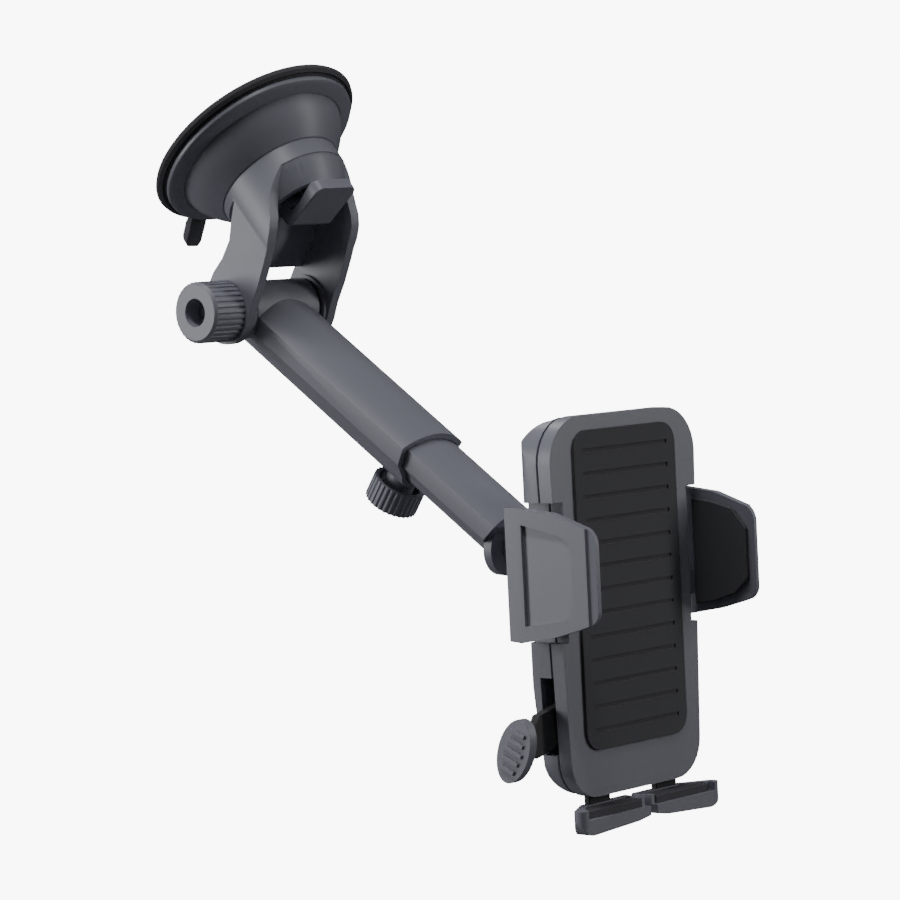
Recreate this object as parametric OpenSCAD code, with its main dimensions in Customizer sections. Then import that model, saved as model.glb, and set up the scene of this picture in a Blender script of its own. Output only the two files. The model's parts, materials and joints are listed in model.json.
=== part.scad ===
// Windscreen phone mount: suction base, forked neck, telescopic arm, ball joint and spring cradle.
// Row frame: origin at the centre of the pad's face, +X across, +Y forward, +Z up.

/* [Suction base] */
// Angle between the pad's face normal and the vertical
rake = 43; // [30:1:60]
// Radius of the rubber pad at its widest
pad_r = 36.9; // [33:0.1:42]
// Thickness of the rubber pad
pad_t = 3.6; // [3:0.1:4.5]
// Radius of the housing flange
flange_r = 34.3; // [32:0.1:36]
// Radius of the dome where it leaves the flange
dome_r = 28.9; // [27:0.1:31]
// Radius of the neck
neck_r = 21; // [20:0.1:23]
// Depth of the dome and neck joint below the pad's face
neck_depth = 18.4; // [17:0.1:22]
// Width of the pull tab
tab_w = 7; // [5:0.5:14]
// Distance the locking stud travels
stud_lift = 2.3; // [1.5:0.1:2.6]

/* [Neck and pivot] */
// Distance of the pivot from the cup axis
pivot_y = 32.7; // [30:0.1:42]
// Depth of the pivot below the pad's face
pivot_depth = 45.3; // [43:0.1:60]
// Outside width across the two ears
ears_w = 41; // [38:0.5:41.5]
// Thickness of each ear
ear_t = 3.5; // [2.8:0.1:4]
// Radius of the ear's end around the pivot
ear_r = 11; // [9:0.5:13]
// Radius of the pivot bolt
bolt_r = 3; // [2.5:0.1:3.5]
// Radius of the pivot knob
knob_r = 10; // [8.5:0.5:12]
// Length of the pivot knob
knob_l = 13; // [10:0.5:18]

/* [Telescopic arm] */
// Slope of the arm below the horizontal
droop = 31; // [15:1:45]
// Half width of the outer tube at its ridges
arm_half = 14; // [13:0.1:14.2]
// Length of the outer tube past the pivot
outer_l = 83.5; // [76:0.5:110]
// Distance from the pivot to the arm's end face
arm_l = 126.6; // [118:0.1:140]
// Wall of both tubes
tube_wall = 2; // [1.6:0.1:2.4]
// Length of the inner tube
inner_l = 78; // [70:1:84]
// Radius of the arm lock knob
lock_r = 8.8; // [8:0.1:11]
// Height of the arm lock knob
lock_h = 8.2; // [7:0.1:12]
// Radius of the lock screw
lock_screw_r = 2.5; // [2:0.1:3]

/* [Ball joint] */
// Radius of the ball
ball_r = 8; // [7:0.1:9]
// Distance from the arm's end face to the ball's centre
stud_l = 17; // [16:0.5:20]
// Radius of the ring nut
nut_r = 14.5; // [14:0.5:17]
// Backward lean of the cradle
tilt = 3.85; // [0:0.05:15]

/* [Cradle] */
// Distance from the ball's centre to the phone's screen
ball_to_screen = 39.2; // [38.5:0.1:46]
// Height of the phone's centre above the ball
screen_rise = 1.3; // [-10:0.1:10]
// Half width of the cradle at its top
cradle_half = 34.5; // [33:0.1:34.7]
// Half width of the cradle at its bottom
cradle_low_half = 31; // [29:0.1:33.5]
// Top of the cradle above the phone's centre
cradle_top = 42.5; // [40:0.5:60]
// Bottom of the cradle below the phone's centre
cradle_bottom = 72; // [70:0.5:80]
// Wall of the two cradle shells
shell_wall = 2; // [1.6:0.1:2.4]
// Width of the phone between the jaws
phone_w = 71.6; // [71.2:0.1:80]
// Thickness of the phone
phone_t = 7.4; // [6:0.1:7.6]
// Depth of the jaws in front of the screen
jaw_front = 11.5; // [8:0.5:14]
// Reach of the foot below the phone's centre
foot_drop = 82; // [80:0.5:95]
// Half width across the two feet
foot_half = 33.3; // [28:0.1:36]

/* [Hidden] */
$fn = 48;

// clearances
run_fit = 0.05;      // radial, shafts and pins in their bores
slide_fit = 0.3;     // around sliding parts
gap = 0.25;          // between faces that turn past each other

// colours
shell_c = [0.27, 0.28, 0.33];
black_c = [0.05, 0.05, 0.055];
rubber_c = [0.09, 0.09, 0.1];
steel_c = [0.7, 0.71, 0.73];
brass_c = [0.76, 0.6, 0.3];

// ---- helpers ----
function arc(c, r, a0, a1, n = 8) =
    [for (i = [0:n]) c + r * [cos(a0 + (a1 - a0) * i / n), sin(a0 + (a1 - a0) * i / n)]];
function box_round(x0, y0, x1, y1, r, n = 5) = concat(
    arc([x1 - r, y1 - r], r, 0, 90, n), arc([x0 + r, y1 - r], r, 90, 180, n),
    arc([x0 + r, y0 + r], r, 180, 270, n), arc([x1 - r, y0 + r], r, 270, 360, n));
function flip(pts) = [for (i = [len(pts) - 1:-1:0]) [-pts[i][0], pts[i][1]]];

// cylinder along X, centred on the axis, from x0 to x1
module rod_x(r, x0, x1) {
    translate([x0, 0, 0]) rotate([0, 90, 0]) cylinder(r = r, h = x1 - x0);
}
// cylinder along Y, from y0 to y1
module rod_y(r, y0, y1) {
    translate([0, y0, 0]) rotate([-90, 0, 0]) cylinder(r = r, h = y1 - y0);
}
// outline given as [y, z], extruded along X from x0 to x1
module side_prism(pts, x0, x1) {
    translate([x0, 0, 0]) rotate([90, 0, 90]) linear_extrude(x1 - x0) polygon(pts);
}
// outline given as [x, z], extruded along Y from y0 to y1
module front_prism(pts, y0, y1) {
    translate([0, y1, 0]) rotate([90, 0, 0]) linear_extrude(y1 - y0) polygon(pts);
}
// outline given as [x, y], extruded along Z from z0 to z1
module plan_prism(pts, z0, z1) {
    translate([0, 0, z0]) linear_extrude(z1 - z0) polygon(pts);
}
// knurled cylinder along Z
module knurled(r, h, grooves, groove_r = 0.55) {
    difference() {
        cylinder(r = r, h = h);
        for (i = [0:grooves - 1]) rotate(i * 360 / grooves)
            translate([r + groove_r * 0.35, 0, -1]) cylinder(r = groove_r, h = h + 2, $fn = 16);
    }
}
// closed coil along Z: wire of radius w on a helix of radius r
module coil(r, w, h, turns, per_turn = 12, sides = 6) {
    steps = turns * per_turn;
    rise = (h - 2 * w) / steps;
    pts = [for (i = [0:steps], k = [0:sides - 1])
        let (a = 360 * i / per_turn, b = 360 * k / sides, rr = r + w * cos(b))
        [rr * cos(a), rr * sin(a), w + i * rise + w * sin(b)]];
    walls = [for (i = [0:steps - 1], k = [0:sides - 1])
        let (n = (k + 1) % sides)
        [i * sides + k, (i + 1) * sides + k, (i + 1) * sides + n, i * sides + n]];
    polyhedron(pts, concat([[for (k = [0:sides - 1]) k]], walls,
        [[for (k = [sides - 1:-1:0]) steps * sides + k]]), convexity = 8);
}

// ---- frames ----
// cup frame: Z out through the pad's face, Y down the glass
module in_cup() { rotate([-rake, 0, 0]) children(); }
// arm frame: origin on the pivot, the arm runs along -Y, Z to the arm's upper side
module in_arm() { in_cup() translate([0, pivot_y, -pivot_depth]) rotate([rake + droop, 0, 0]) children(); }
// end frame: level with the row, origin at the centre of the arm's end face
end_drop = 6.5;
module in_end() { in_arm() translate([0, -arm_l, -end_drop]) rotate([-droop, 0, 0]) children(); }
// ball frame: origin at the ball's centre, leaning with the cradle
module in_ball() { in_end() translate([0, -stud_l, 0]) rotate([-tilt, 0, 0]) children(); }
// cradle frame: origin at the centre of the phone's screen, Y into the phone
module in_cradle() { in_ball() translate([0, -ball_to_screen, screen_rise]) children(); }

// ---- suction base, in the cup frame ----
stud_r = 4;
stud_flange_r = 10;
stud_flange_t = 1.8;
stud_flange_z = -(pad_t + stud_lift + 0.1);      // pad side of the stud's flange at rest
boss_lip_z = stud_flange_z - stud_flange_t - 0.05;   // pad's holding lip under that flange
pad_boss_r = 13;
tab_l = 8.6;
tab_turn = 2;
rim_z = -1.2;                                    // level of the pad's widest edge

module suction_pad() color(rubber_c) in_cup() {
    rotate_extrude($fn = 96) polygon(concat(
        [[0, 0], [pad_r - 1.6, 0], [pad_r - 0.4, rim_z + 0.6], [pad_r, rim_z], [pad_r - 0.3, rim_z - 1],
         [pad_r - 1.3, rim_z - 1.9], [flange_r + 0.4, -pad_t + 0.9], [flange_r + 0.2, -pad_t]],
        [[pad_boss_r, -pad_t], [pad_boss_r, boss_lip_z - 1.6], [stud_r + 1.8, boss_lip_z - 1.6],
         [stud_r + 1.8, boss_lip_z], [stud_flange_r + 0.3, boss_lip_z],
         [stud_flange_r + 0.3, -pad_t], [0, -pad_t]]));
    // pull tab, bent away from the glass
    rotate(tab_turn) intersection() {
        side_prism([
            [pad_r - 1.5, rim_z + 0.3], [pad_r + 2, rim_z - 0.4], [pad_r + tab_l, rim_z - 4.2],
            [pad_r + tab_l - 0.8, rim_z - 6.4], [pad_r + 1, rim_z - 2.8], [pad_r - 1.5, rim_z - 1.2]],
            -tab_w / 2, tab_w / 2);
        plan_prism(concat([[-tab_w / 2 - 1, pad_r - 2]], [[tab_w / 2 + 1, pad_r - 2]],
            arc([0, pad_r + tab_l - tab_w / 2], tab_w / 2 + 0.1, -20, 200, 12)), rim_z - 8, 0);
    }
}

dome_wall = 2.2;
dome_z = -7.1;                                   // start of the dome
flange_z = -5.6;                                 // back of the flange's outer edge
floor_t = 2.6;                                   // floor under the neck
// radius of the dome at depth fraction t, between the flange and the neck
function dome_at(t) = dome_r + (neck_r + 0.4 - dome_r) * (0.35 * t + 0.65 * (1 - cos(90 * t)));
screw_ring_r = 14;
neck_screw_r = 1.2;
module at_neck_screws() { for (a = [90, 210, 330]) rotate(a) translate([screw_ring_r, 0, 0]) children(); }

module cup_housing() color(shell_c) in_cup() difference() {
    rotate_extrude($fn = 96) polygon(concat(
        [[0, -pad_t], [flange_r, -pad_t], [flange_r, flange_z + 0.6], [flange_r - 0.7, flange_z],
         [dome_r + 0.5, dome_z + 0.3], [dome_r + 0.2, dome_z + 0.6]],
        [for (i = [0:8]) [dome_at(i / 8), dome_z + (-neck_depth - dome_z) * i / 8]],
        [[0, -neck_depth]]));
    // hollow under the dome
    rotate_extrude($fn = 96) polygon([
        [0, -pad_t + 1], [dome_r - 1, -pad_t + 1], [dome_r - dome_wall, dome_z - 1],
        [neck_r - 1.2, -neck_depth + floor_t], [0, -neck_depth + floor_t]]);
    translate([0, 0, -neck_depth - 1]) cylinder(r = stud_r + run_fit, h = 10);
    at_neck_screws() translate([0, 0, -neck_depth - 1]) cylinder(r = neck_screw_r + 0.4, h = 8);
}

pin_r = 1.5;
pin_z = -29.2;                                   // lever pin below the pad's face
tongue_half = 3;
tongue_low = 3.3;                                // tongue below the pin, clear of the swinging plate
cam_r = 4.2;
cam_lift = 1.9;                                  // lobe's centre above the lever pin
stem_z = pin_z + cam_lift + cam_r + 0.3;         // lower end of the round stem, clear of the cams
pin_half = 8;

module pull_stud() color(steel_c) in_cup() difference() {
    union() {
        translate([0, 0, stud_flange_z - stud_flange_t]) cylinder(r = stud_flange_r, h = stud_flange_t);
        translate([0, 0, stem_z]) cylinder(r = stud_r, h = stud_flange_z - 0.5 - stem_z);
        intersection() {
            translate([0, 0, pin_z - tongue_low]) cylinder(r = stud_r, h = -pin_z - 15);
            translate([-tongue_half, -10, pin_z - tongue_low]) cube([2 * tongue_half, 20, -pin_z - 10]);
        }
    }
    translate([0, 0, pin_z]) rod_x(pin_r, -pin_half, pin_half);
}

stud_spring_l = neck_depth - floor_t + boss_lip_z - 0.05;
module stud_spring() color(steel_c) in_cup()
    translate([0, 0, -neck_depth + floor_t]) coil(stud_r + 0.9, 0.4, stud_spring_l, 4);

// yoke: solid neck ring, an arched hood at the front and two ears that carry the pivot
hood_z = -24.5;                                  // lower rim of the hood at the front
hood_in_r = 15.4;
lip_r = hood_in_r - 0.9;
hood_in_z = -32.6;
seat_z = -22;                                    // floor that the lever's cams press on
ear_half = ears_w / 2;
ear_in = ear_half - ear_t;
ear_boss_t = 1.4;                                // raised face around the pivot
nut_x = ear_half - 2.6;                          // floor of the nut's pocket
nut_hex_r = bolt_r * 1.9;
// closed outline in [y, z], from the hood down to the pivot and back to the neck
function ear_points() = concat(
    [[-neck_r - 1, -neck_depth], [-neck_r - 1, hood_z], [-15, hood_z], [-11.5, -27.6], [-8.3, -30.6],
     [-5.9, -34], [-4, -37.3], [-1.4, -40], [2.2, -42.5], [8.7, -46], [16, -49.6], [23, -52.4]],
    arc([pivot_y, -pivot_depth], ear_r, 245, 450, 16),
    [[28, -32.7], [21.7, -32.1], [15.2, -30], [10.5, -26.3], [5, -22.6], [5, -neck_depth]]);
web_points = [[5.6, seat_z + 0.5], [5.6, -23.4], [10.3, -26.6], [15, -30.3], [21.6, -32.4], [25.3, -32.8],
    [25.3, -34.3], [21.2, -33.9], [14.1, -31.7], [9.3, -27.8], [4.2, -24.2], [4.2, seat_z + 0.5]];
module yoke_plan(half, r) {
    circle(r = r, $fn = 96);
    translate([-half, 0]) square([2 * half, pivot_y + 2 * ear_r]);
}
module yoke() color(shell_c) in_cup() difference() {
    union() {
        // ears and hood wall
        intersection() {
            side_prism(ear_points(), -30, 30);
            translate([0, 0, -80]) linear_extrude(80 + seat_z + 0.5) difference() {
                yoke_plan(ear_half, neck_r);
                yoke_plan(ear_in, ear_in + 0.3);
            }
        }
        // neck disc, whose underside is the lever's seat
        translate([0, 0, seat_z]) cylinder(r = neck_r, h = -neck_depth - seat_z, $fn = 96);
        // inner lip of the hood
        intersection() {
            rotate_extrude($fn = 96) polygon([[lip_r, hood_in_z], [hood_in_r + 1.2, hood_in_z],
                [neck_r - 0.3, hood_z - 0.1], [neck_r - 0.3, seat_z + 0.4], [lip_r, seat_z + 0.4]]);
            translate([-ear_half, -neck_r - 1, -40]) cube([2 * ear_half, neck_r - 3, 30]);
        }
        // web that closes the fork at the rear, down to the arm's head
        side_prism(web_points, -ear_in - 0.5, ear_in + 0.5);
        // bosses that face the arm
        for (s = [0, 1]) translate([0, pivot_y, -pivot_depth]) mirror([s, 0, 0])
            rod_x(ear_r - 0.6, ear_in - ear_boss_t, ear_in + 0.5);
    }
    translate([0, 0, -neck_depth - 12]) cylinder(r = stud_r + 1, h = 20);
    translate([0, pivot_y, -pivot_depth]) {
        rod_x(bolt_r + run_fit, -40, 40);
        translate([nut_x, 0, 0]) rotate([0, 90, 0]) cylinder(r = nut_hex_r + 0.1, h = 8, $fn = 6);
    }
    at_neck_screws() translate([0, 0, -neck_depth - 3.2]) cylinder(r = neck_screw_r + run_fit, h = 8);
}

module neck_screws() color(steel_c) in_cup() at_neck_screws() {
    translate([0, 0, -neck_depth - 3]) cylinder(r = neck_screw_r, h = 3 + floor_t);
    translate([0, 0, -neck_depth + floor_t]) cylinder(r = 2.6, h = 1.4);
}

lever_half = 9;
lever_tip = 18.5;
tip_round = 3.4;                                 // rounding of the plate's two front corners
cheek_in = tongue_half + 0.3;                    // inner face of each cheek, beside the stud's tongue
// thumb plate in [y, z] from the pin, with a raised front lip
lever_plate = [[-lever_tip, -8.8], [-1, -8.8], [1, -7.6], [1, -5.4], [-9, -5.4],
    [-lever_tip + 2.4, -4.4], [-lever_tip, -4.9]];
module lock_lever() color(shell_c) in_cup() translate([0, 0, pin_z]) difference() {
    union() {
        for (s = [0, 1]) mirror([s, 0, 0]) {
            // cam disc and lobe
            rod_x(cam_r, cheek_in, lever_half);
            translate([0, 0, cam_lift]) rod_x(cam_r, cheek_in, lever_half);
            // web from the cams to the plate
            translate([cheek_in, -4, -6.6]) cube([lever_half - cheek_in, 5, 6.6]);
        }
        intersection() {
            side_prism(lever_plate, -lever_half, lever_half);
            plan_prism(concat([[lever_half, 4], [-lever_half, 4]],
                arc([tip_round - lever_half, tip_round - lever_tip], tip_round, 180, 270, 6),
                arc([lever_half - tip_round, tip_round - lever_tip], tip_round, 270, 360, 6)), -12, 0);
        }
    }
    rod_x(pin_r + run_fit, -20, 20);
}
module lever_pin() color(steel_c) in_cup() translate([0, 0, pin_z])
    rod_x(pin_r, -lever_half + 0.4, lever_half - 0.4);

// pivot hardware
knob_x = -ear_half - gap;
knob_edge = 0.9;                                 // chamfer of the knob's outer rim
knob_recess_r = 4.6;
knob_recess = 6;
module pivot_knob() color(shell_c) in_cup() translate([0, pivot_y, -pivot_depth]) difference() {
    union() {
        translate([knob_x, 0, 0]) rotate([0, -90, 0]) knurled(knob_r, knob_l - knob_edge, 32, 0.65);
        translate([knob_x - knob_l + knob_edge, 0, 0]) rotate([0, -90, 0])
            cylinder(r1 = knob_r - 0.1, r2 = knob_r - 0.1 - knob_edge, h = knob_edge);
    }
    rod_x(knob_recess_r, knob_x - knob_l - 1, knob_x - knob_l + knob_recess);
    rod_x(bolt_r, knob_x - knob_l, knob_x + 1);
}
bolt_end = ear_half - 0.6;
module pivot_bolt() color(steel_c) in_cup() translate([0, pivot_y, -pivot_depth]) {
    rod_x(bolt_r, knob_x - knob_l + knob_recess, bolt_end);
}
module pivot_nut() color(steel_c) in_cup() translate([0, pivot_y, -pivot_depth]) difference() {
    translate([nut_x, 0, 0]) rotate([0, 90, 0]) cylinder(r = nut_hex_r, h = 2.4, $fn = 6);
    rod_x(bolt_r + run_fit, 0, 40);
}
hub_half = 14.2;
hub_r = 9.4;
disc_r = 9.2;
disc_out = ear_in - ear_boss_t;
module friction_discs() color(black_c) in_arm() for (s = [0, 1]) mirror([s, 0, 0]) difference() {
    rod_x(disc_r, hub_half, disc_out - 0.05);
    rod_x(bolt_r + run_fit, -40, 40);
}

// ---- telescopic arm, in the arm frame ----
ridge_z = 2.9;
arm_top = 7.4;
arm_low = 14;
// section of the arm, set in by a wall: arched top, two ridges, sides closing to a round keel
module arm_section(inset = 0) {
    half = arm_half - 1.15 * inset;
    rz = ridge_z - 0.3 * inset;
    top = arm_top - inset;
    low = arm_low - inset;
    keel_r = 8.6 - 0.75 * inset;
    keel_z = keel_r - low;
    rise = top - rz;
    top_r = (half * half + rise * rise) / (2 * rise);
    side = [half - 1.3, rz - 6.6];
    // where the flat sides meet the keel, set just inside its circle
    foot = [(keel_r - 0.4) * cos(32), keel_z - (keel_r - 0.4) * sin(32)];
    intersection() {
        translate([0, top - top_r]) circle(r = top_r, $fn = 96);
        polygon([[-half, top + 1], [-half, rz - 0.3], [-side[0], side[1]], [-foot[0], foot[1]],
            [foot[0], foot[1]], [side[0], side[1]], [half, rz - 0.3], [half, top + 1]]);
    }
    translate([0, keel_z]) circle(r = keel_r);
}
module arm_bar(inset, y0, y1) {
    translate([0, y1, 0]) rotate([90, 0, 0]) linear_extrude(y1 - y0) arm_section(inset);
}
head_mid = (arm_top - arm_low) / 2;
head_y = -1.5;
head_r = (arm_top + arm_low) / 2 + 0.2;
lock_y = -78;
lock_boss_r = 5;
lock_top = -arm_low - 1.2;                       // rim of the lock knob, just under the tube
insert_r = 3.6;
module outer_tube() color(shell_c) in_arm() difference() {
    union() {
        arm_bar(0, -outer_l, head_y);
        intersection() {
            arm_bar(0, head_y - 3, 20);
            translate([0, head_y, head_mid]) rod_x(head_r, -30, 30);
        }
        rod_x(hub_r, -hub_half, hub_half);
        translate([0, lock_y, -arm_low - 3.4]) cylinder(r = lock_boss_r, h = 8);
    }
    arm_bar(tube_wall, -outer_l - 1, -10.4);
    rod_x(bolt_r + run_fit, -40, 40);
    translate([0, lock_y, -arm_low - 6]) cylinder(r = insert_r, h = 12);
}
module screw_insert() color(brass_c) in_arm() translate([0, lock_y, -arm_low - 3.4]) difference() {
    cylinder(r = insert_r, h = 4.6);
    translate([0, 0, -1]) cylinder(r = lock_screw_r + run_fit, h = 8);
}
inner_fit = tube_wall + slide_fit;
inner_low = arm_low - inner_fit;
shoe_z = -arm_low + 1.4;
module lock_shoe() color(black_c) in_arm()
    translate([0, lock_y, shoe_z]) cylinder(r = insert_r - 0.1, h = -inner_low - 0.05 - shoe_z);
module lock_knob() color(shell_c) in_arm() translate([0, lock_y, lock_top - lock_h]) difference() {
    knurled(lock_r, lock_h, 30, 0.65);
    translate([0, 0, 2.4]) cylinder(r = lock_r - 1.6, h = lock_h);
    translate([0, 0, -1]) cylinder(r = lock_screw_r, h = 6);
}
screw_z = lock_top - lock_h + 0.4;
module lock_screw() color(steel_c) in_arm()
    translate([0, lock_y, screw_z]) cylinder(r = lock_screw_r, h = shoe_z - 0.05 - screw_z);

inner_wall = 1.8;
knuckle_r = 8.5;
knuckle_t = 3.2;
stud_root_r = 3;
stud_root_l = 8;
// in the end frame: what lies beyond the tube's slanted end
module beyond_end() {
    side_prism([[-60, 60], [-3.7, 60], [-3.7, 7.9], [30, -18.2], [30, -60], [-60, -60]], -30, 30);
}
module at_arm_end() { translate([0, -arm_l, -end_drop]) rotate([-droop, 0, 0]) children(); }
module inner_tube() color(shell_c) in_arm() difference() {
    arm_bar(inner_fit, -arm_l - 12, -arm_l + inner_l);
    arm_bar(inner_fit + inner_wall, -arm_l - 20, -arm_l + inner_l + 1);
    at_arm_end() {
        beyond_end();
        rod_y(knuckle_r + 0.02, -0.02, knuckle_t + 0.02);
        rod_y(stud_root_r + 0.1, 0, stud_root_l + 0.1);
    }
}
module arm_end_cap() color(shell_c) in_arm() difference() {
    union() {
        difference() {
            arm_bar(inner_fit + inner_wall + 0.02, -arm_l - 8, -arm_l + 14);
            at_arm_end() beyond_end();
        }
        at_arm_end() rod_y(knuckle_r, 0, knuckle_t);
    }
    at_arm_end() rod_y(stud_root_r, -1, stud_root_l);
}

// ---- ball joint ----
module ball_stud() color(shell_c) in_end() {
    translate([0, -stud_l, 0]) sphere(r = ball_r, $fn = 64);
    rod_y(3.2, -stud_l + 4, 0);
    rod_y(stud_root_r, -1, stud_root_l);
}
liner_t = 1.3;
liner_fit = 0.12;
liner_r = ball_r + liner_fit;
liner_gap = 1.4;                                 // half of the space that lets the cups swivel
module liner_shell(y0, y1, r_in, bore_r) {
    difference() {
        intersection() {
            sphere(r = r_in + liner_t, $fn = 64);
            rod_y(30, y0, y1);
        }
        sphere(r = r_in, $fn = 64);
        rod_y(bore_r, -30, 30);
    }
}
// two thin cups around the ball: the inner one turns with the pitch, the outer one with the swivel
module liner_inner() color(black_c) in_ball() liner_shell(-6.5, -liner_gap - 0.2, liner_r, 5.6);
module liner_outer() color(black_c) in_ball() liner_shell(liner_gap - 0.2, 5.5, liner_r, 7.1);
thread_r = 12.4;
socket_r = liner_r + liner_t + liner_fit;
nut_y0 = -7.6;
nut_y1 = 7.2;
module ring_nut() color(shell_c) in_ball() difference() {
    union() {
        translate([0, nut_y1 - 2, 0]) rotate([90, 0, 0]) knurled(nut_r, nut_y1 - 2 - nut_y0, 30, 0.8);
        translate([0, nut_y1, 0]) rotate([90, 0, 0]) cylinder(r1 = nut_r - 1.8, r2 = nut_r - 0.2, h = 2);
    }
    rod_y(thread_r + run_fit, nut_y0 - 1, 1.2);
    sphere(r = socket_r, $fn = 64);
    rod_y(7.6, 0, 12);
}

// ---- cradle, in the cradle frame ----
front_y = phone_t + 0.9;                         // face of the front cover
seam_y = 12.9;
back_y = 21.8;
back_round = 5;                                  // rounding of the back's long edges
waist_half = 29.4;                               // recess beside the jaws
waist_z0 = -24.5;
waist_z1 = 17.5;
module cradle_outline(inset = 0) {
    t = cradle_top - inset;
    b = -cradle_bottom + inset;
    h = cradle_half - inset;
    l = cradle_low_half - inset;
    difference() {
        polygon(concat(
            arc([h - 14, t - 14], 14, 0, 90), flip(arc([h - 14, t - 14], 14, 0, 90)),
            flip(arc([l - 12, b + 12], 12, -90, 0)), arc([l - 12, b + 12], 12, -90, 0)));
        for (s = [-1, 1]) translate([s > 0 ? waist_half - inset : -60, waist_z0 - inset])
            square([60 - waist_half + inset, waist_z1 - waist_z0 + 2 * inset]);
    }
}
module outline_prism(inset, y0, y1) {
    translate([0, y1, 0]) rotate([90, 0, 0]) linear_extrude(y1 - y0) cradle_outline(inset);
}
// side outline of the back in [y, z]: rounded at the top, drawn in towards the bottom
function side_curve(inset) = concat(
    [[front_y - 2, cradle_top + 2], [front_y + 2, cradle_top + 2]],
    [for (i = [0:10]) [back_y - inset - 7 + 7 * sin(9 * i), cradle_top - 13 - inset + 12 * cos(9 * i)]],
    [[back_y - inset, 12], [back_y - inset, -28], [back_y - inset - 1, -44], [back_y - inset - 2.6, -56]],
    [for (i = [0:10]) [back_y - inset - 9.6 + 7 * cos(9 * i), -cradle_bottom + 12 + inset - 11 * sin(9 * i)]],
    [[front_y - 2, -cradle_bottom - 2]]);
// plan outline of the back in [x, y]
function back_plan(half, back, r) = concat([[-half, 0], [half, 0]],
    arc([half - r, back - r], r, 0, 90, 6), flip(arc([half - r, back - r], r, 0, 90, 6)));
module cradle_solid(inset, y0) {
    intersection() {
        outline_prism(inset, y0, back_y - inset);
        side_prism(side_curve(inset), -60, 60);
        plan_prism(back_plan(cradle_half - inset, back_y - inset, back_round - inset), -100, 100);
    }
}
screw_at = [[-22, 28], [22, 28], [-25, -62], [25, -62]];
function screw_back(p) = p[1] > 0 ? back_y : back_y - 3;   // back surface at a screw
pinion_z = -3.5;
rack_y0 = 13.8;
rack_y1 = 16.8;
pitch_r = 7;
release_at = [-8, -34];
socket_z = -screen_rise;
spring_x = -22;                                  // release spring, above the lever's arm
spring_z = -37.4;
spring_l = 9;
shelf_z = spring_z + spring_l + 0.1;
function rack_slots(s) = s < 0 ? [2.3, 10.1] : [-17.1, -9.3];

module back_shell() color(shell_c) in_cradle() difference() {
    union() {
        difference() {
            cradle_solid(0, seam_y);
            cradle_solid(shell_wall, seam_y - 1);
            // seam groove
            difference() {
                outline_prism(-5, seam_y - 1, seam_y + 0.8);
                outline_prism(0.8, seam_y - 2, seam_y + 2);
            }
        }
        for (p = screw_at) translate([p[0], 0, p[1]]) rod_y(3.6, seam_y, screw_back(p) - 0.6);
        translate([0, 0, pinion_z]) rod_y(4, 17.6, back_y - 1);
        translate([release_at[0], 0, release_at[1]]) rod_y(3.4, 17.6, back_y - 1);
        // shelf that the release spring pushes on
        translate([spring_x - 3, seam_y + 0.4, shelf_z]) cube([6, back_y - 1 - seam_y - 0.4, 2]);
        translate([0, 0, socket_z]) rod_y(thread_r, back_y - 1.5, ball_to_screen + 0.8);
    }
    for (p = screw_at) translate([p[0], 0, p[1]]) {
        rod_y(1.35, seam_y - 1, back_y);
        rod_y(2.7, screw_back(p) - 2, back_y + 6);
    }
    translate([0, 0, pinion_z]) rod_y(1.2, 10, back_y - 1.6);
    translate([release_at[0], 0, release_at[1]]) rod_y(1.5, 10, back_y - 1.9);
    translate([0, ball_to_screen, socket_z]) {
        sphere(r = socket_r, $fn = 64);
        rod_y(socket_r, 0, 6);
    }
    // openings for the racks, the release lever and the foot slider
    for (s = [-1, 1]) {
        z = rack_slots(s);
        translate([s > 0 ? 20 : -60, rack_y0 - 1.5, z[0]]) cube([40, rack_y1 - rack_y0 + 2, z[1] - z[0]]);
    }
    translate([-60, seam_y + 0.6, -58.5]) cube([40, 4.6, 23.5]);
}

module front_cover() color(shell_c) in_cradle() difference() {
    union() {
        difference() {
            outline_prism(0, front_y, seam_y);
            outline_prism(shell_wall, front_y + shell_wall, seam_y + 1);
        }
        for (p = screw_at) translate([p[0], 0, p[1]]) rod_y(2.8, front_y + 1, seam_y);
        translate([0, 0, pinion_z]) rod_y(4, front_y + 1, 13.3);
    }
    for (p = screw_at) translate([p[0], 0, p[1]]) rod_y(1.2, front_y + 1.9, seam_y + 1);
    translate([0, 0, pinion_z]) rod_y(2, front_y + 1.4, 20);
    // recess for the front pad
    outline_pad(0.1, front_y - 1, front_y + 0.6);
    // slots for the racks and the foot slider
    for (s = [-1, 1]) {
        z = rack_slots(s);
        translate([s > 0 ? 20 : -60, rack_y0 - 1.5, z[0]]) cube([40, 6, z[1] - z[0]]);
    }
    translate([-leg_x1 - 0.3, leg_y0 - 0.15, -cradle_bottom - 5]) cube([2 * leg_x1 + 0.6, 3, 20]);
}
module outline_pad(grow, y0, y1) {
    front_prism(box_round(-24 - grow, -58 - grow, 24 + grow, 38 + grow, 6), y0, y1);
}
module front_pad() color(rubber_c) in_cradle() difference() {
    outline_pad(0, phone_t + 0.1, front_y + 0.6);
    for (i = [-6:6]) translate([-20, phone_t - 0.5, i * 7 - 10.6]) cube([40, 1, 1.2]);
}
module cradle_screws() color(steel_c) in_cradle() for (p = screw_at) translate([p[0], 0, p[1]]) {
    rod_y(1.2, front_y + 2, screw_back(p) - 2);
    rod_y(2.5, screw_back(p) - 2, screw_back(p) - 0.7);
}

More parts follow.
